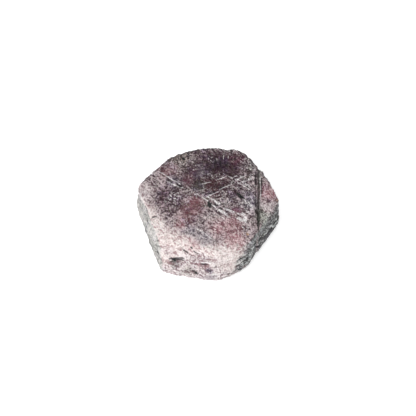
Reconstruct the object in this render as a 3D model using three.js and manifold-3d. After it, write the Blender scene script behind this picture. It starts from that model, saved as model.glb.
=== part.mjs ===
// A raw ruby crystal: one thick six-sided table of corundum, worn round at its edges, as it comes out of the
// ground. Its top is a broad, slightly domed basal face that rolls down into a long bevel at the front left.
// The six sides lean outwards to a belt near the base, and draw in again under it to the flat face it lies on.
// A narrow crack runs across the top near the right corner, and the block beyond it sits a little lower.
//
// Millimetres, +Z up. The crystal lies on its base at z = 0, with the origin under the middle of its box.

import * as THREE from "three";
import { mergeVertices } from "three/addons/utils/BufferGeometryUtils.js";
import Module from "manifold-3d";

// Driving dimensions.
const beltHeight = 4; // where the crystal is widest, above the face it lies on
const topReach = 6; // from the belt up to the top face
const baseReach = 4.25; // from the belt down to the lower face, which is then cut flat at z = 0
const edgeSharpness = 52; // exponent that blends the faces: a lower one gives rounder edges
const wavinessDepth = 0.1; // how far the natural faces stand off true planes

// The skin's points lie on rings round the upright axis. Each stretch gives the ring heights as angles above
// the belt, seen from the middle of the crystal, and they lie closest together at the upper and lower rims.
const stepsAround = 108;
const ringStretches = [
  { from: 90, to: 32, steps: 8 },
  { from: 32, to: 17, steps: 10 },
  { from: 17, to: -8, steps: 5 },
  { from: -8, to: -23, steps: 8 },
  { from: -23, to: -90, steps: 3 },
];

// The crack across the top, and the block to its right.
const crack = { x: 8.65, fromY: -6.2, toY: 8.4, width: 0.62, depth: 1.15, turn: -1.9 };
const block = { drop: 0.4, slope: 6, lean: -1 };

// A flake has split off low on the front right side, from its middle to its front corner.
const flake = { bearing: 334, reach: 9.75, endsAt: -1.2 };

// The crystal's faces. "bearing" is the way a face looks in plan, in degrees from +X towards +Y. "tilt" is how
// far it looks up (90 is straight up) or down (-90). "reach" is its distance from the middle of the belt.
const endFaces = [
  { name: "top", bearing: 75, tilt: 86.5, reach: topReach },
  { name: "top front", bearing: 250, tilt: 85, reach: topReach - 0.1 },
  { name: "front left bevel", bearing: 241.5, tilt: 65, reach: topReach + 2.4 },
  { name: "front bevel", bearing: 250, tilt: 38, reach: topReach + 3.95 },
  { name: "front right bevel", bearing: 290, tilt: 28, reach: topReach + 5.45 },
  { name: "back bevel", bearing: 100, tilt: 70, reach: topReach + 3.1 },
  { name: "base", bearing: 0, tilt: -90, reach: baseReach },
];

// The sides, from the right corner round by the back.
const sideFaces = [
  { name: "right corner", bearing: 3, tilt: 1, reach: 13.15 },
  { name: "right back low", bearing: 22, tilt: 4, reach: 12.05 },
  { name: "right back", bearing: 38, tilt: 5, reach: 12.25 },
  { name: "back right", bearing: 83, tilt: 6, reach: 12.7 },
  { name: "back", bearing: 96, tilt: 7, reach: 12.4 },
  { name: "back left corner", bearing: 113, tilt: 6, reach: 12.4 },
  { name: "back left", bearing: 138, tilt: 5, reach: 12.45 },
  { name: "left corner", bearing: 170, tilt: 3, reach: 13.9 },
  { name: "front left", bearing: 200, tilt: 7, reach: 11.15 },
  { name: "front left corner", bearing: 234, tilt: 15, reach: 12.6 },
  { name: "front", bearing: 258, tilt: 25, reach: 10.7 },
  { name: "front right corner", bearing: 290, tilt: 15, reach: 10.85 },
  { name: "front right turn", bearing: 306, tilt: 8, reach: 10.6 },
  { name: "front right", bearing: 327.3, tilt: 5, reach: 10.3 },
  { name: "right front corner", bearing: 346, tilt: 3, reach: 12.1 },
];

// Under the belt every side draws in again, by a steep lower face that follows its upper one.
const lowerTilt = -34;
const lowerShare = 0.93; // of the upper face's reach

const radians = THREE.MathUtils.degToRad;

// The outward unit normal of a face.
function normalOf({ bearing, tilt }) {
  const flat = Math.cos(radians(tilt));
  return new THREE.Vector3(
    flat * Math.cos(radians(bearing)),
    flat * Math.sin(radians(bearing)),
    Math.sin(radians(tilt)),
  );
}

function allFaces() {
  const lowerFaces = sideFaces.map(({ bearing, reach }) => ({
    bearing,
    tilt: lowerTilt,
    reach: reach * lowerShare,
  }));
  const faces = [...endFaces, ...sideFaces, ...lowerFaces];
  return faces.map((face) => ({ normal: normalOf(face), reach: face.reach }));
}

// Slow waves over the skin, as the faces of a natural crystal are never true planes.
function waviness({ x, y, z }) {
  return (
    wavinessDepth *
    (0.5 * Math.sin(4.1 * x + 2.3 * y + 1.0) +
      0.4 * Math.sin(5.3 * y - 3.1 * z + 2.2) +
      0.3 * Math.sin(7.7 * x - 6.1 * y + 4.4 * z))
  );
}

// How far the skin lies from the middle in a direction: the flat faces, blended where they meet.
function skinRadius(direction, planes) {
  let sum = 0;
  for (const { normal, reach } of planes) {
    const share = normal.dot(direction) / reach;
    if (share > 0) sum += Math.pow(share, edgeSharpness);
  }
  return Math.pow(sum, -1 / edgeSharpness);
}

// A unit sphere with its rings where ringStretches puts them, and its poles on the Z axis.
function ringedSphere() {
  const elevations = [-90];
  for (const { from, to, steps } of [...ringStretches].reverse())
    for (let i = 1; i <= steps; i++) elevations.push(to + ((from - to) * i) / steps);
  const profile = elevations.map((elevation) => {
    const pole = Math.abs(elevation) === 90;
    return new THREE.Vector2(pole ? 0 : Math.cos(radians(elevation)), Math.sin(radians(elevation)));
  });
  return new THREE.LatheGeometry(profile, stepsAround).rotateX(Math.PI / 2);
}

// The whole crystal before its base is cut flat: a sphere whose points are moved out to the skin.
function skinGeometry() {
  const planes = allFaces();
  const geometry = ringedSphere();
  const position = geometry.attributes.position;
  const direction = new THREE.Vector3();
  for (let i = 0; i < position.count; i++) {
    direction.fromBufferAttribute(position, i).normalize();
    const radius = skinRadius(direction, planes) + waviness(direction);
    direction.multiplyScalar(radius);
    position.setXYZ(i, direction.x, direction.y, direction.z + beltHeight);
  }
  return geometry;
}

// The space under the face that the crystal lies on.
function underBaseGeometry() {
  const size = 60;
  return new THREE.BoxGeometry(size, size, size).translate(0, 0, -size / 2);
}

// A wedge that opens the crack: its section is a triangle, and it runs along Y.
function crackGeometry() {
  const topZ = beltHeight + topReach;
  const mouthHeight = 1; // the wedge's mouth lies above the skin
  const mouth = crack.width * (1 + mouthHeight / crack.depth);
  const section = new THREE.Shape();
  section.moveTo(-mouth / 2, mouthHeight);
  section.lineTo(0, -crack.depth);
  section.lineTo(mouth / 2, mouthHeight);
  section.closePath();
  const length = crack.toY - crack.fromY;
  return new THREE.ExtrudeGeometry(section, { depth: length, bevelEnabled: false })
    .rotateX(Math.PI / 2)
    .translate(0, length / 2, 0)
    .rotateZ(radians(crack.turn))
    .translate(crack.x, (crack.fromY + crack.toY) / 2, topZ - 0.3);
}

// The space above the block on the right of the crack, which lowers that block's top.
function aboveBlockGeometry() {
  const size = 16;
  const topZ = beltHeight + topReach;
  return new THREE.BoxGeometry(size, 2 * size, size)
    .translate(size / 2, 0, size / 2)
    .rotateY(radians(block.slope))
    .rotateX(radians(block.lean))
    .rotateZ(radians(crack.turn))
    .translate(crack.x, (crack.fromY + crack.toY) / 2, topZ - block.drop);
}

// The flake that is gone from the front right side.
function flakeGeometry() {
  const size = 30;
  return new THREE.BoxGeometry(size, size, size)
    .translate(flake.reach + size / 2, flake.endsAt - size / 2, 0)
    .rotateZ(radians(flake.bearing));
}

const wasm = await Module();
wasm.setup();

// A closed three.js geometry as a manifold-3d solid.
function toSolid(geometry) {
  const bare = geometry.clone();
  bare.deleteAttribute("normal");
  bare.deleteAttribute("uv");
  const merged = mergeVertices(bare, 1e-4);
  return new wasm.Manifold(
    new wasm.Mesh({
      numProp: 3,
      vertProperties: merged.attributes.position.array,
      triVerts: new Uint32Array(merged.index.array),
    }),
  );
}

// A manifold-3d solid as a three.js geometry.
function toGeometry(solid) {
  const { vertProperties, triVerts } = solid.getMesh();
  const geometry = new THREE.BufferGeometry()
    .setAttribute("position", new THREE.BufferAttribute(vertProperties, 3))
    .setIndex(new THREE.BufferAttribute(triVerts, 1));
  geometry.computeVertexNormals();
  return geometry;
}

// Slides a geometry sideways so that the origin lies under the middle of its box.
function centreOverOrigin(geometry) {
  geometry.computeBoundingBox();
  const middle = geometry.boundingBox.getCenter(new THREE.Vector3());
  return geometry.translate(-middle.x, -middle.y, 0);
}

function crystalGeometry() {
  const solid = toSolid(skinGeometry())
    .subtract(toSolid(underBaseGeometry()))
    .subtract(toSolid(aboveBlockGeometry()))
    .subtract(toSolid(crackGeometry()))
    .subtract(toSolid(flakeGeometry()));
  return centreOverOrigin(toGeometry(solid));
}

const ruby = new THREE.MeshStandardMaterial({ color: 0x7d5f6a, roughness: 0.6, metalness: 0 });

const crystal = new THREE.Mesh(crystalGeometry(), ruby);
crystal.name = "ruby_crystal";

const part = new THREE.Group();
part.add(crystal);

export default part;
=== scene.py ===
# A raw ruby crystal, a thick worn table of corundum, lying on a plain white floor.
import math
import random
import bmesh
import bpy
from mathutils import Matrix, Vector
from mathutils.bvhtree import BVHTree


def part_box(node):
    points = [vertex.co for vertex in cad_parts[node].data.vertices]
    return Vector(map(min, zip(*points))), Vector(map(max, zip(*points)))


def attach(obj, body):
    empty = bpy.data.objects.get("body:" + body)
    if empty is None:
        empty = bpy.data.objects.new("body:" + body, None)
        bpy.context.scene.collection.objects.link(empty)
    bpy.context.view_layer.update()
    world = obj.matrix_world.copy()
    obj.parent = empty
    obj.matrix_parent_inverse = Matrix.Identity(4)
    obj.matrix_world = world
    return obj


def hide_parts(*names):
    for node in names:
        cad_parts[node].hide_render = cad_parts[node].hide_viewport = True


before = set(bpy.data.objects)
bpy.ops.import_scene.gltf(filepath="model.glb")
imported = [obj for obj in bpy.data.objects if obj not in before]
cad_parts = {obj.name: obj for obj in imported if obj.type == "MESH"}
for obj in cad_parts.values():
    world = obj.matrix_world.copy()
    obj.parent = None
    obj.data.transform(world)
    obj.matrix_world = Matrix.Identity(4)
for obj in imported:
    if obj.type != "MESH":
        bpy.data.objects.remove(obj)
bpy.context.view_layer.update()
scene = bpy.context.scene

mm = 0.001  # metres in a millimetre; the crystal's mesh is worked on in millimetres
root = "root"


def linearColour(hexText):
    # an sRGB hex colour as the linear values that sockets take
    channels = [int(hexText[i:i + 2], 16) / 255 for i in (1, 3, 5)]
    linear = [c / 12.92 if c <= 0.04045 else ((c + 0.055) / 1.055) ** 2.4 for c in channels]
    return (*linear, 1.0)


def addNode(tree, kind, settings=None, inputs=None):
    # adds a node, sets its own settings, and sets or links its inputs by name or place
    node = tree.nodes.new(kind)
    for name, value in (settings or {}).items():
        setattr(node, name, value)
    for key, value in (inputs or {}).items():
        if isinstance(value, bpy.types.Node):  # a node stands for its first live output
            value = next(socket for socket in value.outputs if socket.enabled)
        if isinstance(value, bpy.types.NodeSocket):
            tree.links.new(value, node.inputs[key])
        else:
            node.inputs[key].default_value = value
    return node


# Camera, floor and light.
view = {
    "height": 62,  # degrees above the horizon
    "lens": 100,
    "sensor": 36,
    "distance": 206.3,  # mm from the middle of the crystal
    "aimShift": (0.0006, 0.0165),  # the crystal stands a little under the frame's middle
}

studio = {
    "floorColour": "#f4f4f4",
    "floorGlow": 0.62,  # the floor is white acrylic, lit from below as well, so shadows stay faint
    "world": 0.24,
    "lamps": {
        # bearing and height in degrees, distance and size in mm, power in watts
        "key": {"bearing": 222, "height": 48, "distance": 300, "size": 200, "power": 0.65},
        "fill": {"bearing": 318, "height": 42, "distance": 320, "size": 240, "power": 0.155},
        "top": {"bearing": 250, "height": 84, "distance": 340, "size": 220, "power": 0.24},
    },
}


def directionTo(bearing, height):
    flat = math.cos(math.radians(height))
    return Vector((flat * math.cos(math.radians(bearing)), flat * math.sin(math.radians(bearing)),
                   math.sin(math.radians(height))))


def lookAlong(direction):
    # an object turned so that it looks along a direction, with its top upwards
    return direction.to_track_quat("-Z", "Y").to_euler()


low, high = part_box("ruby_crystal")
middle = (low + high) / 2

cameraData = bpy.data.cameras.new("camera")
cameraData.lens = view["lens"]
cameraData.sensor_width = view["sensor"]
cameraData.shift_x, cameraData.shift_y = view["aimShift"]
cameraData.clip_start, cameraData.clip_end = 0.01, 5
camera = bpy.data.objects.new("camera", cameraData)
towardsCamera = directionTo(270, view["height"])
camera.location = middle + towardsCamera * view["distance"] * mm
camera.rotation_euler = lookAlong(-towardsCamera)
scene.collection.objects.link(camera)
scene.camera = camera

bpy.ops.mesh.primitive_plane_add(size=4, location=(0, 0, 0))
floor = bpy.context.object
floor.name = "floor"
acrylic = bpy.data.materials.new("whiteAcrylic")  # matt white sheet, the same all over
acrylic.use_nodes = True
acrylicShader = acrylic.node_tree.nodes["Principled BSDF"]
acrylicShader.inputs["Base Color"].default_value = linearColour(studio["floorColour"])
acrylicShader.inputs["Roughness"].default_value = 0.9
acrylicShader.inputs["Specular IOR Level"].default_value = 0.2
acrylicShader.inputs["Emission Color"].default_value = linearColour("#ffffff")
acrylicShader.inputs["Emission Strength"].default_value = studio["floorGlow"]
floor.data.materials.append(acrylic)

world = bpy.data.worlds.new("studio")
world.use_nodes = True
background = world.node_tree.nodes["Background"]
background.inputs["Color"].default_value = linearColour("#ffffff")
background.inputs["Strength"].default_value = studio["world"]
scene.world = world

for name, lamp in studio["lamps"].items():
    lampData = bpy.data.lights.new(name, "AREA")
    lampData.shape = "DISK"
    lampData.size = lamp["size"] * mm
    lampData.energy = lamp["power"]
    lampObject = bpy.data.objects.new(name, lampData)
    towardsLamp = directionTo(lamp["bearing"], lamp["height"])
    lampObject.location = middle + towardsLamp * lamp["distance"] * mm
    lampObject.rotation_euler = lookAlong(-towardsLamp)
    scene.collection.objects.link(lampObject)

scene.view_settings.view_transform = "Standard"
scene.view_settings.look = "None"
print("stage: camera, floor and light")


# The crystal. Lengths are in mm.
ruby = {
    "fineness": 0.1245,  # between the mesh's points
    "smoothing": 5,  # rounds of easing
    "flatBase": 0.02,  # points lower than this lie on the base, and the relief begins above it
    "latticeTurns": (-36, 20, 86),  # of the striations on the top face, in degrees from +X
    # How a noise's coordinates are scaled: a small number draws the noise out that way.
    "layerScale": (0.3, 0.3, 1.0),
    "striationScale": (0.12, 1.0, 0.3),
    "sugarScale": (0.4, 1.0, 0.8),
    "noiseRange": (0.33, 0.67),  # where a noise counts as -1 and as 1
    "seedSteps": {"relief": 3.7, "finish": 2.9},  # from one noise to the next
    "topFace": (0.6, 0.9),  # how far up the skin looks where the top face begins and is whole
    "pitReach": (0.12, 0.5),  # of the smallest and the largest pit, in pit spacings
    "relief": {  # the inputs of the relief's node tree
        "Seed": 7.0,
        "Grain Size": 1.0,  # sugary grain all over
        "Grain Depth": 0.2,
        "Lump Size": 2.6,  # slow swellings
        "Lump Depth": 0.08,
        "Layer Spacing": 0.9,  # growth layers that crop out on the sides
        "Layer Depth": 0.1,
        "Streak Spacing": 0.3,  # striations along the three lattice directions
        "Streak Depth": 0.06,
        "Pit Spacing": 0.72,  # small etch pits all over
        "Pit Depth": 0.12,
        "Base Kept": 0.5,  # height over which the relief fades in above the base
    },
    # A mark is one strand, or pieces of several side by side. These are how far apart a strand's points
    # are, how much they wobble, where along the mark a piece begins at the latest, how much of the mark
    # it covers, and how wide its tips are beside its middle.
    "strands": {"spacing": 0.3, "wobble": 0.03, "latest": 0.75, "pieces": (0.12, 0.5), "tips": 0.4},
    # Marks, as lines: start, end, half width, strands, and how far the strands spread.
    "marks": {
        "scratches": {
            "depth": 0.04,
            "lines": [
                # the long chain over the middle, and a second one beside it
                ((-2.7, 1.9, 9.9), (-1.4, 1.2, 9.9), 0.16, 3, 0.05),
                ((-1.5, 1.2, 9.9), (0.1, 0.1, 9.9), 0.09, 7, 0.05),
                ((-0.4, 1.0, 9.9), (0.9, 0.3, 9.9), 0.08, 6, 0.08),
                ((0.5, -0.3, 9.9), (1.7, -1.5, 9.9), 0.05, 7, 0.08),
                ((1.6, -1.4, 9.9), (3.1, -2.5, 9.9), 0.15, 8, 0.10),
                ((2.8, -2.3, 9.9), (4.2, -3.2, 9.8), 0.06, 5, 0.10),
                ((0.8, 0.6, 9.9), (2.2, -0.8, 9.9), 0.08, 9, 0.14),
                ((1.6, 0.2, 9.9), (2.3, -0.5, 9.9), 0.14, 3, 0.06),
                ((2.2, -0.8, 9.9), (4.6, -2.2, 9.9), 0.03, 8, 0.10),
                # the cluster at the right
                ((4.4, -1.9, 9.9), (5.6, -2.5, 9.8), 0.10, 5, 0.12),
                ((5.1, -2.3, 9.8), (7.2, -3.7, 9.8), 0.15, 9, 0.30),
                ((4.5, -2.7, 9.8), (6.9, -4.1, 9.8), 0.07, 8, 0.26),
                ((5.4, -4.5, 9.8), (7.0, -5.4, 9.7), 0.08, 4, 0.08),
                ((6.2, 1.2, 9.8), (8.0, -2.2, 9.8), 0.03, 14, 0.7),
                # the double scratch at the back left
                ((-8.6, 6.2, 9.7), (-7.0, 4.9, 9.8), 0.10, 1, 0.0),
                ((-7.3, 5.2, 9.8), (-4.7, 3.5, 9.9), 0.12, 1, 0.0),
                ((-7.3, 4.2, 9.8), (-4.4, 2.7, 9.9), 0.13, 1, 0.0),
                # fine lines that run towards the back right
                ((-2.2, 2.0, 9.9), (-0.2, 2.6, 9.9), 0.03, 3, 0.05),
                ((-0.2, 0.9, 9.9), (2.0, 2.1, 9.9), 0.07, 1, 0.0),
                ((2.0, 2.5, 9.9), (4.4, 3.8, 9.7), 0.04, 1, 0.0),
                ((4.3, 4.0, 9.6), (7.1, 5.8, 9.5), 0.03, 4, 0.06),
                ((-1.4, 3.5, 9.8), (0.6, 4.1, 9.8), 0.04, 1, 0.0),
                ((0.6, 4.1, 9.8), (3.4, 5.3, 9.6), 0.02, 3, 0.06),
                ((3.6, 5.3, 9.6), (4.3, 4.7, 9.6), 0.14, 4, 0.10),
                ((4.6, 5.3, 9.6), (5.3, 5.5, 9.6), 0.12, 3, 0.06),
                ((5.0, 4.7, 9.6), (8.2, 5.3, 9.5), 0.02, 9, 0.4),
                ((5.2, 4.6, 9.6), (8.2, 2.2, 9.6), 0.03, 9, 0.6),
                # single flecks and short strokes
                ((-2.6, 6.7, 9.7), (-2.1, 6.6, 9.7), 0.19, 2, 0.08),
                ((-6.8, 1.5, 9.9), (-6.3, 1.0, 9.8), 0.13, 1, 0.0),
                ((-6.1, 0.8, 9.8), (-5.3, 0.5, 9.8), 0.11, 1, 0.0),
                ((-6.9, 1.9, 9.9), (-3.9, 0.9, 9.9), 0.06, 6, 0.30),
                ((-2.1, -4.9, 9.4), (-0.4, -6.1, 9.4), 0.12, 1, 0.0),
                ((-0.6, -5.9, 9.4), (1.1, -7.3, 9.4), 0.09, 1, 0.0),
                ((-9.0, -3.4, 9.4), (-7.8, -5.4, 8.9), 0.10, 5, 0.5),
                # a painted highlight: the white glint at the bottom of the middle pit
                ((0.2, -1.25, 9.9), (0.7, -1.35, 9.9), 0.14, 1, 0.0),
                # along the crack's right rim
                ((9.25, 6.0, 9.3), (9.05, -1.2, 9.3), 0.08, 6, 0.07),
                # striations at the back that run from back to front
                ((2.0, 10.3, 9.3), (2.2, 7.4, 9.5), 0.01, 4, 1.20),
                # fine lines in the front face
                ((-3.3, -10.2, 6.8), (0.6, -10.8, 7.6), 0.10, 6, 0.10),
                ((0.4, -10.7, 7.6), (2.4, -10.8, 7.2), 0.10, 4, 0.15),
                ((0.2, -11.9, 5.1), (1.7, -11.8, 4.8), 0.22, 4, 0.18),
                # glints on the layers at the right
                ((5.4, -9.9, 5.2), (6.3, -9.3, 5.4), 0.24, 5, 0.2),
                ((6.6, -9.2, 3.6), (8.6, -6.8, 3.4), 0.13, 5, 0.2),
                ((9.3, -5.5, 4.0), (10.0, -4.5, 4.0), 0.20, 3, 0.1),
                ((10.3, -4.0, 2.8), (11.2, -2.8, 3.0), 0.20, 3, 0.1),
                ((8.8, -6.2, 6.8), (10.6, -3.4, 6.9), 0.10, 4, 0.3),
            ],
        },
        "gouges": {
            "depth": 0.12,
            "lines": [
                # dark grooves beside the scratches
                ((-7.4, 4.6, 9.8), (-4.6, 3.0, 9.9), 0.06, 4, 0.05),
                ((-2.3, 1.6, 9.9), (-0.4, 2.0, 9.9), 0.08, 4, 0.10),
                ((-0.4, 1.4, 9.9), (1.8, 2.4, 9.9), 0.08, 5, 0.10),
                ((0.2, 2.6, 9.9), (3.0, 3.2, 9.8), 0.07, 5, 0.20),
                ((0.8, -0.2, 9.9), (2.6, -1.6, 9.9), 0.05, 5, 0.14),
                ((5.4, 1.6, 9.9), (6.5, 0.7, 9.9), 0.11, 1, 0.0),
                ((5.3, 1.1, 9.9), (6.4, 0.2, 9.9), 0.08, 1, 0.0),
                ((4.8, -2.9, 9.8), (6.8, -3.6, 9.8), 0.12, 4, 0.20),
                ((5.6, -4.4, 9.8), (6.4, -4.9, 9.7), 0.16, 2, 0.10),
                # dark spots at the back
                ((1.3, 9.2, 9.4), (1.35, 8.2, 9.5), 0.26, 1, 0.0),
                ((2.25, 8.6, 9.4), (2.35, 7.6, 9.5), 0.24, 1, 0.0),
                ((3.5, 8.2, 9.4), (3.2, 7.6, 9.5), 0.24, 1, 0.0),
                ((1.0, 7.6, 9.5), (1.1, 6.8, 9.6), 0.16, 2, 0.15),
                ((4.4, 9.6, 9.3), (4.5, 8.6, 9.4), 0.10, 3, 0.20),
                # along the crack's rims
                ((9.5, 5.4, 9.3), (9.3, -0.6, 9.3), 0.09, 5, 0.04),
                ((8.55, 6.6, 9.6), (8.2, -4.6, 9.6), 0.07, 9, 0.06),
                # dashes in the bevel and in the left rim
                ((-4.4, -8.6, 8.4), (-3.4, -9.1, 8.1), 0.13, 1, 0.0),
                ((-2.5, -8.9, 8.6), (-1.7, -9.4, 8.4), 0.13, 1, 0.0),
                ((-9.9, -2.9, 9.4), (-9.0, -2.6, 9.4), 0.14, 1, 0.0),
                # the dark patch at the front left, and streaks in the front face
                ((-7.5, -9.3, 6.2), (-4.1, -9.8, 7.0), 0.10, 11, 0.26),
                ((-6.6, -9.6, 6.2), (-5.0, -9.9, 6.3), 0.13, 6, 0.26),
                ((-2.4, -10.5, 6.8), (0.4, -11.0, 7.0), 0.06, 4, 0.20),
                ((-0.4, -11.3, 6.1), (1.0, -11.6, 5.8), 0.20, 3, 0.15),
                ((-3.3, -11.0, 5.4), (-1.6, -11.5, 5.0), 0.16, 4, 0.30),
                # dark specks down the left side
                ((-12.3, 2.7, 7.2), (-11.4, -0.4, 7.8), 0.07, 7, 0.20),
                ((-11.2, -0.6, 7.4), (-10.1, -3.6, 7.6), 0.09, 9, 0.16),
                ((-9.8, -5.0, 6.2), (-9.2, -7.0, 5.6), 0.05, 3, 0.20),
                ((-9.0, -7.2, 5.6), (-8.7, -8.1, 5.0), 0.12, 3, 0.12),
                # black layers at the right, and the dark line of the belt there, which is painted shade
                ((10.4, -3.7, 4.7), (11.4, -2.2, 4.4), 0.30, 3, 0.12),
                ((11.3, -2.4, 4.8), (12.1, -1.0, 4.9), 0.30, 2, 0.1),
                ((7.3, -8.3, 5.0), (8.3, -6.8, 4.7), 0.32, 3, 0.15),
                ((6.2, -9.5, 4.2), (7.6, -8.0, 4.0), 0.24, 4, 0.2),
                ((8.6, -6.5, 3.4), (10.2, -4.3, 3.0), 0.26, 4, 0.2),
                ((8.8, -6.2, 5.9), (10.6, -3.5, 6.1), 0.16, 5, 0.4),
                ((11.3, -2.4, 6.6), (12.4, -0.2, 6.8), 0.20, 4, 0.3),
                ((10.8, -3.0, 5.5), (12.2, -0.6, 5.9), 0.36, 1, 0.0),
                # painted shade along the belt at the lower right
                ((7.0, -9.0, 4.1), (11.8, -2.3, 4.1), 0.42, 1, 0.0),
                ((12.4, -0.6, 7.4), (12.5, 1.2, 7.6), 0.24, 3, 0.3),
            ],
        },
        "hollows": {
            "depth": 0.22,
            "lines": [
                ((0.15, -0.15, 9.9), (0.4, -1.0, 9.9), 0.58, 1, 0.0),
                ((5.0, 1.9, 9.8), (6.1, 1.0, 9.9), 0.28, 1, 0.0),
                ((-2.95, -8.4, 9.0), (-2.8, -8.6, 8.9), 0.26, 1, 0.0),
                ((-6.2, -9.6, 6.4), (-5.6, -9.8, 6.2), 0.32, 1, 0.0),
                ((-2.3, -11.5, 4.9), (-1.9, -11.6, 4.8), 0.28, 1, 0.0),
                ((1.2, -11.2, 6.7), (1.6, -11.2, 6.7), 0.24, 1, 0.0),
                ((10.9, -2.1, 9.2), (11.2, -1.9, 9.1), 0.38, 1, 0.0),
                ((-4.6, 9.1, 9.5), (-4.1, 9.0, 9.5), 0.30, 1, 0.0),
            ],
        },
        "crack": {
            "depth": 0.05,
            "lines": [
                ((8.86, 7.4, 8.6), (8.64, 0.6, 8.6), 0.66, 1, 0.0),
                ((8.66, 1.4, 8.6), (8.42, -6.0, 8.6), 0.42, 1, 0.0),
            ],
        },
    },
    # The finish: body colours lie under a frosted skin, which is worn through in specks.
    "tones": {  # body, frosted skin
        "plum": ("#2b0c1c", "#9a7889"),
        "mauve": ("#3f2630", "#cdbcbe"),
        "ochre": ("#8a5a2c", "#e0b88a"),
        "rose": ("#6e3f47", "#b28c91"),
        "berry": ("#5a2439", "#a57c8a"),
        "wine": ("#3b0f1d", "#92666f"),
        "pink": ("#955e67", "#dfbec1"),
        "lavender": ("#3f3543", "#b7acb6"),
        "olive": ("#282019", "#a59488"),
        "snowAndSheen": ("#b89697", "#f8efec"),
        "front": ("#896d72", "#efe5e5"),
        "chalkAndSheen": ("#858480", "#dad6d3"),
        "slateAndShade": ("#0a0b0d", "#cacecd"),
        "moss": ("#262c25", "#c6c7bb"),
        "back": ("#33282d", "#a39899"),
        "haze": ("#6d646e", "#b7adb4"),
        "sage": ("#33332c", "#a9aa9e"),
        "violet": ("#36203f", "#a592b6"),
    },
    # The frost grows from the dark heart outwards.
    "heart": {"centre": (0.8, 5.0, 9.6), "from": 2.0, "to": 13.0, "frost": (0.1, 0.76)},
    # The bevels at the front and the front left, pale from wear and from a painted sheen: the way they
    # lie, and how far that way their pale coat begins and is full.
    "bevels": [((-0.3, -0.954, 0.0), 6.3, 8.1), ((-0.8, -0.6, 0.0), 7.5, 9.3)],
    "bevelFrostAndSheen": 0.85,
    # Sides: tone, the way they face, how near a face is to it where the tone begins and is full, frost,
    # and how ragged the border is. The chalk side, towards the key lamp, is paler as a painted sheen over
    # its own pale stone; the slate side is darker as painted shade over its own dark stone; the back side
    # is darker as painted shade.
    "sides": [
        ("front", (-0.15, -0.99, 0.0), 0.72, 0.86, 0.74, 0.09),
        ("chalkAndSheen", (-0.94, -0.33, 0.0), 0.72, 0.86, 0.62, 0.18),
        ("back", (0.2, 0.98, 0.0), 0.1, 0.4, 0.35, 0.2),
        ("slateAndShade", (0.84, -0.54, 0.0), 0.84, 0.95, 0.34, 0.09),
    ],
    # Zones of colour: tone, centre, size, frost, strength. A zone is at its full strength up to the
    # first of these shares of its size, and gone at the second.
    "zoneEdge": (0.15, 1.15),
    "zones": [
        ("plum", (2.2, 7.8, 9.5), 5.2, 0.03, 0.95),
        ("wine", (1.4, 3.2, 9.8), 3.2, 0.04, 0.95),
        ("berry", (5.2, 9.2, 9.3), 1.9, 0.08, 0.7),
        ("sage", (8.0, 7.4, 9.2), 1.1, 0.6, 0.6),
        ("rose", (-6.9, 6.3, 9.7), 2.6, 0.5, 0.6),
        ("berry", (-3.6, 4.4, 9.8), 1.6, 0.15, 0.8),
        ("berry", (-2.4, 6.2, 9.7), 1.1, 0.1, 0.6),
        ("olive", (-4.6, 9.0, 9.5), 2.6, 0.42, 0.6),
        ("olive", (-1.8, 3.1, 9.9), 1.9, 0.0, 0.95),
        ("haze", (-1.4, 6.0, 9.7), 1.4, 0.3, 0.5),
        ("lavender", (-6.0, 4.2, 9.8), 2.0, 0.2, 0.8),
        ("plum", (-6.7, 0.5, 9.8), 2.9, 0.06, 0.85),
        ("plum", (-8.0, 2.2, 9.8), 1.3, 0.12, 0.7),
        ("rose", (-2.3, -0.6, 9.9), 2.7, 0.2, 0.95),
        ("rose", (-3.9, -3.0, 9.7), 2.2, 0.25, 0.7),
        ("pink", (-4.9, -4.4, 9.4), 1.3, 0.45, 0.7),
        ("berry", (5.2, -1.6, 9.9), 1.1, 0.15, 0.9),
        ("lavender", (7.4, 0.2, 9.7), 2.8, 0.36, 0.85),
        ("sage", (-0.4, -0.7, 9.9), 0.5, 0.5, 0.8),
        ("haze", (-2.8, -5.4, 9.4), 1.9, 0.5, 0.8),
        ("haze", (-0.6, -7.0, 9.4), 1.9, 0.6, 0.8),
        ("pink", (1.6, -5.0, 9.5), 2.2, 0.7, 0.7),
        ("pink", (4.6, -7.5, 9.4), 2.4, 0.38, 0.95),
        ("pink", (4.2, -4.6, 9.6), 2.4, 0.1, 0.65),
        ("ochre", (6.8, -6.1, 9.6), 0.4, 0.7, 0.9),
        ("plum", (5.6, 3.0, 9.8), 2.2, 0.2, 0.6),
        ("pink", (-2.6, -8.1, 9.1), 1.9, 0.8, 0.5),
        # the pale front bevel: worn skin with a painted sheen on it
        ("snowAndSheen", (4.0, -10.2, 7.6), 4.2, 0.9, 0.9),
        ("rose", (-1.7, -10.7, 6.9), 0.8, 0.5, 0.8),
        ("rose", (-0.3, -10.9, 6.9), 0.9, 0.45, 0.8),
        ("violet", (0.3, -11.5, 6.0), 0.8, 0.3, 0.8),
        ("sage", (-3.6, -11.0, 5.0), 1.6, 0.6, 0.4),
        ("slateAndShade", (-5.6, -9.9, 6.0), 1.3, 0.35, 0.5),
        ("haze", (0.4, -12.0, 4.4), 1.4, 0.8, 0.7),
        # the dark right side: its own dark stone with painted shade on it
        ("slateAndShade", (10.6, -4.0, 4.4), 4.2, 0.0, 0.9),
        ("slateAndShade", (6.6, -9.0, 5.4), 2.4, 0.4, 0.9),
        ("slateAndShade", (12.8, 0.1, 7.9), 2.5, 0.0, 1.0),
        ("slateAndShade", (-10.8, -2.8, 4.8), 1.5, 0.4, 0.9),
        ("slateAndShade", (-10.6, -2.5, 7.0), 0.7, 0.2, 0.9),
        ("slateAndShade", (-11.2, -0.8, 7.4), 0.6, 0.1, 0.9),
        ("slateAndShade", (-12.3, 2.4, 7.2), 1.0, 0.4, 0.8),
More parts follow.
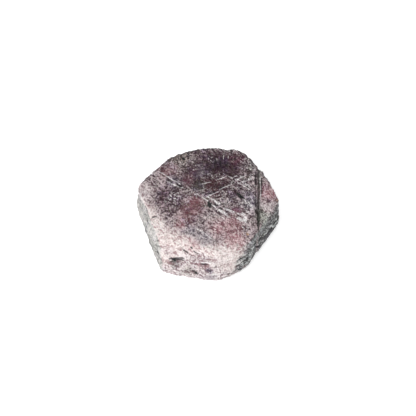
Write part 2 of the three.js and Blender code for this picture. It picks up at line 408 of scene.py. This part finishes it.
        ("slateAndShade", (-8.9, -7.4, 5.6), 0.8, 0.1, 0.9),
        ("front", (-11.3, 2.4, 9.3), 2.5, 0.76, 0.8),
        ("pink", (10.6, 1.9, 9.3), 2.6, 0.76, 0.75),
        ("front", (10.6, -1.0, 9.3), 2.3, 0.88, 0.8),
        ("moss", (9.5, -3.0, 9.2), 1.8, 0.8, 0.9),
        ("moss", (9.2, -1.7, 9.2), 1.0, 0.4, 0.7),
        ("wine", (10.3, 0.3, 9.3), 0.8, 0.15, 0.7),
        ("ochre", (12.0, 0.6, 9.0), 0.5, 0.6, 0.5),
    ],
    "wander": {"seed": 31.0, "size": 2.2, "reach": 2.6},  # of the borders between zones
    # Noises from -1 to 1: coordinates, size, detail, roughness. The specks of the real skin are about
    # 0.05 mm; they are drawn at 0.25 mm, or they would not show.
    "noises": {
        "speck": ("even", 0.25, 1.0, 0.6),
        "sugar": ("drawn", 0.6, 2.0, 0.6),
        "cloud": ("even", 2.4, 3.0, 0.6),
        "dirt": ("drawn", 0.32, 1.0, 0.5),
        "tiny": ("even", 0.16, 1.0, 0.5),
        "sage": ("even", 1.2, 2.0, 0.7),
        "violet": ("even", 1.5, 2.0, 0.7),
        "soot": ("layered", 0.9, 1.0, 0.5),
        "glint": ("layered", 0.36, 1.0, 0.5),
        "fleck": ("even", 0.42, 1.0, 0.5),
    },
    "stains": {"sage": 0.35, "violet": 0.5},  # faint stains by tone, each with its noise
    # How much each noise or relief adds to the coming and going of the frost.
    "texture": {"speck": 1.3, "sugar": 0.45, "cloud": 0.35, "grain": 0.4, "layer": 1.4, "streak": 1.0,
                "pit": -0.8},
    "swing": {"least": 0.15, "more": 1.9},  # of the texture: least where frost is none or full
    # Where the tiny white points and the worn dots begin in the cloud noise, and the most of them.
    "pointed": (-0.4, 0.75),
    "worn": (-0.7, 0.9),
    "layersShow": (8.4, 6.4),  # heights where the slate side's layers begin and are full
    # painted shade low on the sides, darker towards the base: where it begins and is full by height,
    # strength, colour
    "lowShade": {"from": 4.0, "full": 1.5, "strength": 0.6, "colour": "#2c292a"},  # by height
    # Marks in the order in which they are laid on: where they begin and are full, strength, colour.
    "markTones": [
        ("crack", 0.1, 0.9, 0.7, "#50514b"),
        ("gouges", 0.4, 0.75, 0.85, "#241c20"),
        ("scratches", 0.5, 0.95, 0.95, "#f6f2f2"),
        ("hollows", 0.4, 0.7, 0.95, "#101a19"),
    ],
    "crumbling": 0.14,  # of the marks' edges
    "fineBump": 0.06,  # height of the specks
    "roughness": (0.36, 0.62),  # of the bare body and of the frost
    "ior": 1.77,
    "specular": 0.2,  # the skin is dull
}

# what the relief keeps on the mesh for the finish
keptFields = ("grain", "layer", "streak", "pit", *ruby["marks"])


def markLines(name, lines, skin):
    # a set of marks as loose lines on the skin, each point with the mark's half width there
    made = ruby["strands"]
    wobble, tips = made["wobble"], made["tips"]
    mesh = bmesh.new()
    halfWidth = mesh.verts.layers.float.new("halfWidth")
    for start, end, width, strands, spread in lines:
        rng = random.Random(f"{name} {start}")
        start, end = Vector(start), Vector(end)
        across = (end - start).normalized().cross(Vector((0, 0, 1)))
        for strand in range(strands):
            # a lone strand runs the whole way, and one of several only part of it
            begins = 0.0 if strands == 1 else rng.uniform(0.0, made["latest"])
            ends = 1.0 if strands == 1 else min(1.0, begins + rng.uniform(*made["pieces"]))
            aside = across * rng.gauss(0, spread)
            steps = max(2, round((end - start).length * (ends - begins) / made["spacing"]))
            before = None
            for i in range(steps + 1):
                share = i / steps
                point = start.lerp(end, begins + (ends - begins) * share) + aside
                point += Vector((rng.gauss(0, wobble), rng.gauss(0, wobble), 0))
                vert = mesh.verts.new(skin.find_nearest(point)[0])
                vert[halfWidth] = width * (tips + (1 - tips) * math.sin(math.pi * share) ** 0.5)
                if before:
                    mesh.edges.new((before, vert))
                before = vert
    data = bpy.data.meshes.new(name)
    mesh.to_mesh(data)
    mesh.free()
    drawn = bpy.data.objects.new(name, data)
    scene.collection.objects.link(drawn)
    return drawn


def bakedMesh(thing, name):
    # the object's mesh with its modifiers applied
    evaluated = thing.evaluated_get(bpy.context.evaluated_depsgraph_get())
    mesh = bpy.data.meshes.new_from_object(evaluated)
    mesh.name = name
    return mesh


def evenCrystal():
    # a copy of the solid, merged, in millimetres, made of even quads and eased where its facets meet
    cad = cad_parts["ruby_crystal"]
    mesh = bmesh.new()
    mesh.from_mesh(cad.data)
    bmesh.ops.scale(mesh, vec=(1 / mm, 1 / mm, 1 / mm), verts=mesh.verts)
    bmesh.ops.remove_doubles(mesh, verts=mesh.verts, dist=1e-4)
    data = bpy.data.meshes.new("crystalBlank")
    mesh.to_mesh(data)
    mesh.free()
    blank = bpy.data.objects.new("crystalBlank", data)
    scene.collection.objects.link(blank)
    remesh = blank.modifiers.new("remesh", "REMESH")
    remesh.mode = "VOXEL"
    remesh.voxel_size = ruby["fineness"]
    ease = blank.modifiers.new("ease", "SMOOTH")
    ease.factor = 0.5
    ease.iterations = ruby["smoothing"]
    even = bakedMesh(blank, "crystalEven")
    bpy.data.objects.remove(blank)

    # the base is level, so its small faces become one
    mesh = bmesh.new()
    mesh.from_mesh(even)
    for vert in mesh.verts:
        if vert.co.z < ruby["flatBase"]:
            vert.co.z = 0
    level = [face for face in mesh.faces if all(vert.co.z == 0 for vert in face.verts)]
    bmesh.ops.dissolve_faces(mesh, faces=level, use_verts=True)
    mesh.to_mesh(even)
    mesh.free()
    return even


def reliefTree():
    # moves the skin in and out for grain, lumps, layers, striations, pits and marks, and keeps for the
    # finish the way the smooth skin faces and how strong most of them are at a point
    tree = bpy.data.node_groups.new("crystalRelief", "GeometryNodeTree")
    sockets = [("Geometry", "NodeSocketGeometry")]
    sockets += [(name, "NodeSocketFloat") for name in ruby["relief"]]
    for name in ruby["marks"]:
        sockets += [(f"{name} lines", "NodeSocketObject"), (f"{name} depth", "NodeSocketFloat")]
    sockets.append(("Finish", "NodeSocketMaterial"))
    for name, kind in sockets:
        tree.interface.new_socket(name, in_out="INPUT", socket_type=kind)
    tree.interface.new_socket("Geometry", in_out="OUTPUT", socket_type="NodeSocketGeometry")

    given = addNode(tree, "NodeGroupInput").outputs
    place = addNode(tree, "GeometryNodeInputPosition")
    normal = addNode(tree, "GeometryNodeInputNormal")
    height = addNode(tree, "ShaderNodeSeparateXYZ", None, {0: place}).outputs["Z"]
    upwards = addNode(tree, "ShaderNodeSeparateXYZ", None, {0: normal}).outputs["Z"]
    top = addNode(tree, "ShaderNodeMapRange", {"interpolation_type": "SMOOTHSTEP"},
                  {"Value": upwards, "From Min": ruby["topFace"][0], "From Max": ruby["topFace"][1]})
    side = addNode(tree, "ShaderNodeMath", {"operation": "SUBTRACT"}, {0: 1.0, 1: top})
    offBase = addNode(tree, "ShaderNodeMapRange", {"interpolation_type": "SMOOTHSTEP"},
                      {"Value": height, "From Min": ruby["flatBase"], "From Max": given["Base Kept"]})

    # the layers' noise is stretched in plan, and each striation's is long one way
    flat = addNode(tree, "ShaderNodeVectorMath", {"operation": "MULTIPLY"},
                   {0: place, 1: ruby["layerScale"]})
    # name: coordinates, size, detail, roughness
    noises = {
        "grain": (place, given["Grain Size"], 4.0, 0.75),
        "lump": (place, given["Lump Size"], 2.0, 0.5),
        "layer": (flat, given["Layer Spacing"], 3.0, 0.7),
        "ragged": (place, 0.35, 2.0, 0.6),
    }
    for turn in ruby["latticeTurns"]:
        turned = addNode(tree, "ShaderNodeVectorRotate", {"rotation_type": "Z_AXIS"},
                         {"Vector": place, "Angle": math.radians(-turn)})
        drawn = addNode(tree, "ShaderNodeVectorMath", {"operation": "MULTIPLY"},
                        {0: turned, 1: ruby["striationScale"]})
        noises[f"streak {turn}"] = (drawn, given["Streak Spacing"], 2.0, 0.6)
        noises[f"patch {turn}"] = (place, 3.0, 1.0, 0.5)
    lowest, highest = ruby["noiseRange"]
    step = ruby["seedSteps"]["relief"]
    fields = {}
    for i, (name, (coordinates, size, detail, roughness)) in enumerate(noises.items()):
        scale = addNode(tree, "ShaderNodeMath", {"operation": "DIVIDE"}, {0: 1.0, 1: size})
        seed = addNode(tree, "ShaderNodeMath", {"operation": "ADD"}, {0: given["Seed"], 1: step * i})
        noise = addNode(tree, "ShaderNodeTexNoise", {"noise_dimensions": "4D"},
                        {"Vector": coordinates, "W": seed, "Scale": scale, "Detail": detail,
                         "Roughness": roughness})
        fields[name] = addNode(tree, "ShaderNodeMapRange", None,
                               {"Value": noise, "From Min": lowest, "From Max": highest,
                                "To Min": -1.0})

    fields["layer"] = addNode(tree, "ShaderNodeMath", {"operation": "MULTIPLY"},
                              {0: fields["layer"], 1: side})
    # striations come in patches
    streak = 0.0
    for turn in ruby["latticeTurns"]:
        there = addNode(tree, "ShaderNodeMapRange", {"interpolation_type": "SMOOTHSTEP"},
                        {"Value": fields[f"patch {turn}"], "From Min": -0.4, "From Max": 0.5})
        streak = addNode(tree, "ShaderNodeMath", {"operation": "MULTIPLY_ADD"},
                         {0: fields[f"streak {turn}"], 1: there, 2: streak})
    fields["streak"] = addNode(tree, "ShaderNodeMath", {"operation": "MULTIPLY"}, {0: streak, 1: top})

    # etch pits in the middles of cells, each of its own size, and the smallest in a tenth of them
    pitScale = addNode(tree, "ShaderNodeMath", {"operation": "DIVIDE"}, {0: 1.0, 1: given["Pit Spacing"]})
    cells = addNode(tree, "ShaderNodeTexVoronoi", None, {"Vector": place, "Scale": pitScale})
    lot = addNode(tree, "ShaderNodeSeparateXYZ", None, {0: cells.outputs["Color"]}).outputs["X"]
    smallest, largest = ruby["pitReach"]
    reach = addNode(tree, "ShaderNodeMapRange", None,
                    {"Value": lot, "From Min": 0.1, "To Min": smallest, "To Max": largest})
    fields["pit"] = addNode(tree, "ShaderNodeMapRange", {"interpolation_type": "SMOOTHSTEP"},
                            {"Value": cells.outputs["Distance"], "From Max": reach, "To Min": 1.0,
                             "To Max": 0.0})

    # marks: how near a point is to each set of lines, against their half width. Noise moves an edge by
    # half of that width, and a mark is gone at one and a half of it.
    for name in ruby["marks"]:
        lines = addNode(tree, "GeometryNodeObjectInfo", None,
                        {"Object": given[f"{name} lines"]}).outputs["Geometry"]
        away = addNode(tree, "GeometryNodeProximity", {"target_element": "EDGES"},
                       {0: lines}).outputs["Distance"]
        nearest = addNode(tree, "GeometryNodeSampleNearest", {"domain": "POINT"}, {0: lines})
        width = addNode(tree, "GeometryNodeInputNamedAttribute", {"data_type": "FLOAT"},
                        {"Name": "halfWidth"})
        ownWidth = addNode(tree, "GeometryNodeSampleIndex", {"data_type": "FLOAT", "domain": "POINT"},
                           {0: lines, 1: width, "Index": nearest})
        edge = addNode(tree, "ShaderNodeMath", {"operation": "MULTIPLY"}, {0: ownWidth, 1: 0.5})
        ragged = addNode(tree, "ShaderNodeMath", {"operation": "MULTIPLY_ADD"},
                         {0: fields["ragged"], 1: edge, 2: away})
        wide = addNode(tree, "ShaderNodeMath", {"operation": "MULTIPLY_ADD"},
                       {0: ownWidth, 1: 1.5, 2: ruby["fineness"]})
        fields[name] = addNode(tree, "ShaderNodeMapRange", None,
                               {"Value": ragged, "From Max": wide, "To Min": 1.0, "To Max": 0.0})

    depths = {"grain": given["Grain Depth"], "lump": given["Lump Depth"], "layer": given["Layer Depth"],
              "streak": given["Streak Depth"], "pit": given["Pit Depth"]}
    depths.update({name: given[f"{name} depth"] for name in ruby["marks"]})
    total = 0.0
    for name, depth in depths.items():
        inwards = name == "pit" or name in ruby["marks"]
        signed = addNode(tree, "ShaderNodeMath", {"operation": "MULTIPLY"},
                         {0: depth, 1: -1.0 if inwards else 1.0})
        total = addNode(tree, "ShaderNodeMath", {"operation": "MULTIPLY_ADD"},
                        {0: fields[name], 1: signed, 2: total})
    offset = addNode(tree, "ShaderNodeMath", {"operation": "MULTIPLY"}, {0: total, 1: offBase})
    move = addNode(tree, "ShaderNodeVectorMath", {"operation": "SCALE"}, {0: normal, "Scale": offset})

    # the way the skin faces, where a face that draws in under the belt counts as a side
    upright = addNode(tree, "ShaderNodeVectorMath", {"operation": "MAXIMUM"},
                      {0: normal, 1: (-1.0, -1.0, 0.0)})
    faces = addNode(tree, "ShaderNodeVectorMath", {"operation": "NORMALIZE"}, {0: upright})
    geometry = addNode(tree, "GeometryNodeStoreNamedAttribute", {"data_type": "FLOAT_VECTOR"},
                       {"Geometry": given["Geometry"], "Name": "faces", "Value": faces})
    for name in keptFields:
        geometry = addNode(tree, "GeometryNodeStoreNamedAttribute", {"data_type": "FLOAT"},
                           {"Geometry": geometry, "Name": name, "Value": fields[name]})
    moved = addNode(tree, "GeometryNodeSetPosition", None, {"Geometry": geometry, "Offset": move})
    smooth = addNode(tree, "GeometryNodeSetShadeSmooth", None, {"Geometry": moved})
    whole = addNode(tree, "GeometryNodeRealizeInstances", None, {"Geometry": smooth})
    done = addNode(tree, "GeometryNodeSetMaterial", None, {"Geometry": whole, "Material": given["Finish"]})
    addNode(tree, "NodeGroupOutput", None, {0: done})
    return tree


def crystalPiece(finish):
    even = evenCrystal()
    mesh = bmesh.new()
    mesh.from_mesh(even)
    skin = BVHTree.FromBMesh(mesh)
    mesh.free()
    values = {**ruby["relief"], "Finish": finish}
    drawn = []
    for name, mark in ruby["marks"].items():
        drawn.append(markLines(name, mark["lines"], skin))
        values[f"{name} lines"] = drawn[-1]
        values[f"{name} depth"] = mark["depth"]

    piece = bpy.data.objects.new("rubyCrystal", even)
    scene.collection.objects.link(piece)
    relief = piece.modifiers.new("relief", "NODES")
    relief.node_group = reliefTree()
    for item in relief.node_group.interface.items_tree:
        if item.in_out == "INPUT" and item.name in values:
            relief[item.identifier] = values[item.name]
    finished = bakedMesh(piece, "rubyCrystal")
    piece.modifiers.remove(relief)
    finished.transform(Matrix.Scale(mm, 4))
    piece.data = finished
    for lines in drawn:
        bpy.data.objects.remove(lines)
    return piece


def rubyFinish():
    # raw corundum, IOR 1.77: a dull, sugary mauve skin, frosted on its bevels and brightened there by a
    # painted sheen, with a faint gloss
    finish = bpy.data.materials.new("rawCorundum")
    finish.use_nodes = True
    tree = finish.node_tree
    shader = tree.nodes["Principled BSDF"]
    tones = {name: [linearColour(text) for text in pair] for name, pair in ruby["tones"].items()}

    own = addNode(tree, "ShaderNodeTexCoord").outputs["Object"]
    place = addNode(tree, "ShaderNodeVectorMath", {"operation": "SCALE"}, {0: own, "Scale": 1 / mm})
    kept = {}
    for name in keptFields:
        kept[name] = addNode(tree, "ShaderNodeAttribute", {"attribute_name": name}).outputs["Fac"]
    faces = addNode(tree, "ShaderNodeAttribute", {"attribute_name": "faces"}).outputs["Vector"]

    # noises, some of them stretched along the layers or drawn out along the first striations
    layered = addNode(tree, "ShaderNodeVectorMath", {"operation": "MULTIPLY"},
                      {0: place, 1: ruby["layerScale"]})
    turned = addNode(tree, "ShaderNodeVectorRotate", {"rotation_type": "Z_AXIS"},
                     {"Vector": place, "Angle": math.radians(-ruby["latticeTurns"][0])})
    drawn = addNode(tree, "ShaderNodeVectorMath", {"operation": "MULTIPLY"},
                    {0: turned, 1: ruby["sugarScale"]})
    coordinates = {"even": place, "drawn": drawn, "layered": layered}
    lowest, highest = ruby["noiseRange"]
    step = ruby["seedSteps"]["finish"]
    fields = {}
    for i, (name, (way, size, detail, roughness)) in enumerate(ruby["noises"].items()):
        noise = addNode(tree, "ShaderNodeTexNoise", {"noise_dimensions": "4D"},
                        {"Vector": coordinates[way], "W": step * i, "Scale": 1 / size, "Detail": detail,
                         "Roughness": roughness})
        fields[name] = addNode(tree, "ShaderNodeMapRange", None,
                               {"Value": noise, "From Min": lowest, "From Max": highest,
                                "To Min": -1.0})

    # borders between zones wander by half a millimetre or so
    wander = ruby["wander"]
    slow = addNode(tree, "ShaderNodeTexNoise", {"noise_dimensions": "4D"},
                   {"Vector": place, "W": wander["seed"], "Scale": 1 / wander["size"], "Detail": 3.0,
                    "Roughness": 0.7})
    pushed = addNode(tree, "ShaderNodeVectorMath", {"operation": "MULTIPLY_ADD"},
                     {0: slow.outputs["Color"], 1: (wander["reach"],) * 3, 2: place})
    bent = addNode(tree, "ShaderNodeVectorMath", {"operation": "SUBTRACT"},
                   {0: pushed, 1: (wander["reach"] / 2,) * 3})

    # coats: where each tone lies, and how frosted it is there
    heart = ruby["heart"]
    fromHeart = addNode(tree, "ShaderNodeVectorMath", {"operation": "DISTANCE"},
                        {0: bent, 1: heart["centre"]})
    frost = addNode(tree, "ShaderNodeMapRange", None,
                    {"Value": fromHeart, "From Min": heart["from"], "From Max": heart["to"],
                     "To Min": heart["frost"][0], "To Max": heart["frost"][1]})
    body, skin = tones["mauve"]
    coats = []
    for forward, begins, ends in ruby["bevels"]:
        line = addNode(tree, "ShaderNodeVectorMath", {"operation": "DOT_PRODUCT"}, {0: bent, 1: forward})
        share = addNode(tree, "ShaderNodeMapRange", {"interpolation_type": "SMOOTHSTEP"},
                        {"Value": line, "From Min": begins, "From Max": ends})
        # the bevels' coat: worn pale skin with a painted sheen on it
        coats.append((share, "snowAndSheen", ruby["bevelFrostAndSheen"]))
    onSides = {}
    for toneName, way, begins, ends, level, raggedness in ruby["sides"]:
        facing = addNode(tree, "ShaderNodeVectorMath", {"operation": "DOT_PRODUCT"}, {0: faces, 1: way})
        ragged = addNode(tree, "ShaderNodeMath", {"operation": "MULTIPLY_ADD"},
                         {0: fields["cloud"], 1: raggedness, 2: facing})
        onSides[toneName] = addNode(tree, "ShaderNodeMapRange", {"interpolation_type": "SMOOTHSTEP"},
                                    {"Value": ragged, "From Min": begins, "From Max": ends})
        coats.append((onSides[toneName], toneName, level))
    whole, gone = ruby["zoneEdge"]
    for toneName, centre, size, level, strength in ruby["zones"]:
        away = addNode(tree, "ShaderNodeVectorMath", {"operation": "DISTANCE"}, {0: bent, 1: centre})
        share = addNode(tree, "ShaderNodeMapRange", {"interpolation_type": "SMOOTHSTEP"},
                        {"Value": away, "From Min": whole * size, "From Max": gone * size,
                         "To Min": strength, "To Max": 0.0})
        coats.append((share, toneName, level))
    for share, toneName, level in coats:
        bodyTone, skinTone = tones[toneName]
        body = addNode(tree, "ShaderNodeMix", {"data_type": "RGBA"}, {0: share, 6: body, 7: bodyTone})
        skin = addNode(tree, "ShaderNodeMix", {"data_type": "RGBA"}, {0: share, 6: skin, 7: skinTone})
        frost = addNode(tree, "ShaderNodeMix", {"data_type": "FLOAT"}, {0: share, 2: frost, 3: level})

    # faint green and violet stains, strongest where there is little frost
    clear = addNode(tree, "ShaderNodeMath", {"operation": "SUBTRACT"}, {0: 1.0, 1: frost})
    for toneName, strength in ruby["stains"].items():
        most = addNode(tree, "ShaderNodeMath", {"operation": "MULTIPLY"}, {0: clear, 1: strength})
        share = addNode(tree, "ShaderNodeMapRange", {"interpolation_type": "SMOOTHSTEP"},
                        {"Value": fields[toneName], "From Max": 0.9, "To Max": most})
        bodyTone, skinTone = tones[toneName]
        body = addNode(tree, "ShaderNodeMix", {"data_type": "RGBA"}, {0: share, 6: body, 7: bodyTone})
        skin = addNode(tree, "ShaderNodeMix", {"data_type": "RGBA"}, {0: share, 6: skin, 7: skinTone})

    # specks: the frost comes and goes at every size from a speck up, most where there is half of it
    texture = 0.0
    sources = {**fields, **kept}
    for name, weight in ruby["texture"].items():
        texture = addNode(tree, "ShaderNodeMath", {"operation": "MULTIPLY_ADD"},
                          {0: sources[name], 1: weight, 2: texture})
    halfway = addNode(tree, "ShaderNodeMath", {"operation": "MULTIPLY"}, {0: frost, 1: clear})
    swing = addNode(tree, "ShaderNodeMath", {"operation": "MULTIPLY_ADD"},
                    {0: halfway, 1: ruby["swing"]["more"], 2: ruby["swing"]["least"]})
    speckled = addNode(tree, "ShaderNodeMath", {"operation": "MULTIPLY_ADD", "use_clamp": True},
                       {0: texture, 1: swing, 2: frost})
    tone = addNode(tree, "ShaderNodeMix", {"data_type": "RGBA"}, {0: speckled, 6: body, 7: skin})

    # loose grains: olive flecks everywhere, tiny white points in some places, dots worn through to the
    # body in others, and on the dark side at the right, up to its rim, black layers and bright glints that
    # are painted highlights
    pointed, worn = (addNode(tree, "ShaderNodeMapRange", {"interpolation_type": "SMOOTHSTEP"},
                             {"Value": fields["cloud"], "From Min": begins, "From Max": begins + 1,
                              "To Max": most})
                     for begins, most in (ruby["pointed"], ruby["worn"]))
    height = addNode(tree, "ShaderNodeSeparateXYZ", None, {0: place}).outputs["Z"]
    begins, ends = ruby["layersShow"]
    onLayers = addNode(tree, "ShaderNodeMapRange", {"interpolation_type": "SMOOTHSTEP"},
                       {"Value": height, "From Min": begins, "From Max": ends,
                        "To Max": onSides["slateAndShade"]})
    # noise, where it begins and is full, how much of it there is, colour
    grains = (
        ("fleck", 0.4, 0.9, 0.3, linearColour("#77725f")),
        ("tiny", 0.42, 0.8, pointed, linearColour("#f8f3f2")),
        ("dirt", 0.28, 0.62, worn, body),
        ("soot", 0.0, 0.25, onLayers, linearColour("#08090b")),
        # painted highlights: glints on the layers
        ("glint", 0.64, 0.9, onLayers, linearColour("#e8ebeb")),
    )
    for name, begins, ends, amount, colour in grains:
        share = addNode(tree, "ShaderNodeMapRange", {"interpolation_type": "SMOOTHSTEP"},
                        {"Value": fields[name], "From Min": begins, "From Max": ends, "To Max": amount})
        tone = addNode(tree, "ShaderNodeMix", {"data_type": "RGBA"}, {0: share, 6: tone, 7: colour})

    # painted shade where the sides draw in under the belt, darker towards the base
    lowShade = ruby["lowShade"]
    share = addNode(tree, "ShaderNodeMapRange", {"interpolation_type": "SMOOTHSTEP"},
                    {"Value": height, "From Min": lowShade["from"], "From Max": lowShade["full"],
                     "To Max": lowShade["strength"]})
    tone = addNode(tree, "ShaderNodeMix", {"data_type": "RGBA"},
                   {0: share, 6: tone, 7: linearColour(lowShade["colour"])})

    # marks, with a crumbled edge
    for name, begins, ends, strength, colour in ruby["markTones"]:
        crumbled = addNode(tree, "ShaderNodeMath", {"operation": "MULTIPLY_ADD"},
                           {0: fields["tiny"], 1: ruby["crumbling"], 2: kept[name]})
        share = addNode(tree, "ShaderNodeMapRange", {"interpolation_type": "SMOOTHSTEP"},
                        {"Value": crumbled, "From Min": begins, "From Max": ends, "To Max": strength})
        tone = addNode(tree, "ShaderNodeMix", {"data_type": "RGBA"},
                       {0: share, 6: tone, 7: linearColour(colour)})

    fineBump = addNode(tree, "ShaderNodeBump", None,
                       {"Height": fields["speck"], "Strength": 1.0, "Distance": ruby["fineBump"] * mm})
    bare, frosted = ruby["roughness"]
    roughness = addNode(tree, "ShaderNodeMapRange", None,
                        {"Value": speckled, "To Min": bare, "To Max": frosted})
    for source, socket in ((tone, "Base Color"), (roughness, "Roughness"), (fineBump, "Normal")):
        live = next(output for output in source.outputs if output.enabled)
        tree.links.new(live, shader.inputs[socket])
    shader.inputs["IOR"].default_value = ruby["ior"]
    shader.inputs["Specular IOR Level"].default_value = ruby["specular"]
    return finish


crystal = crystalPiece(rubyFinish())
triangles = sum(len(face.vertices) - 2 for face in crystal.data.polygons)
print("stage: crystal,", triangles, "triangles")

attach(crystal, root)
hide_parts("ruby_crystal")

print("stage: done")
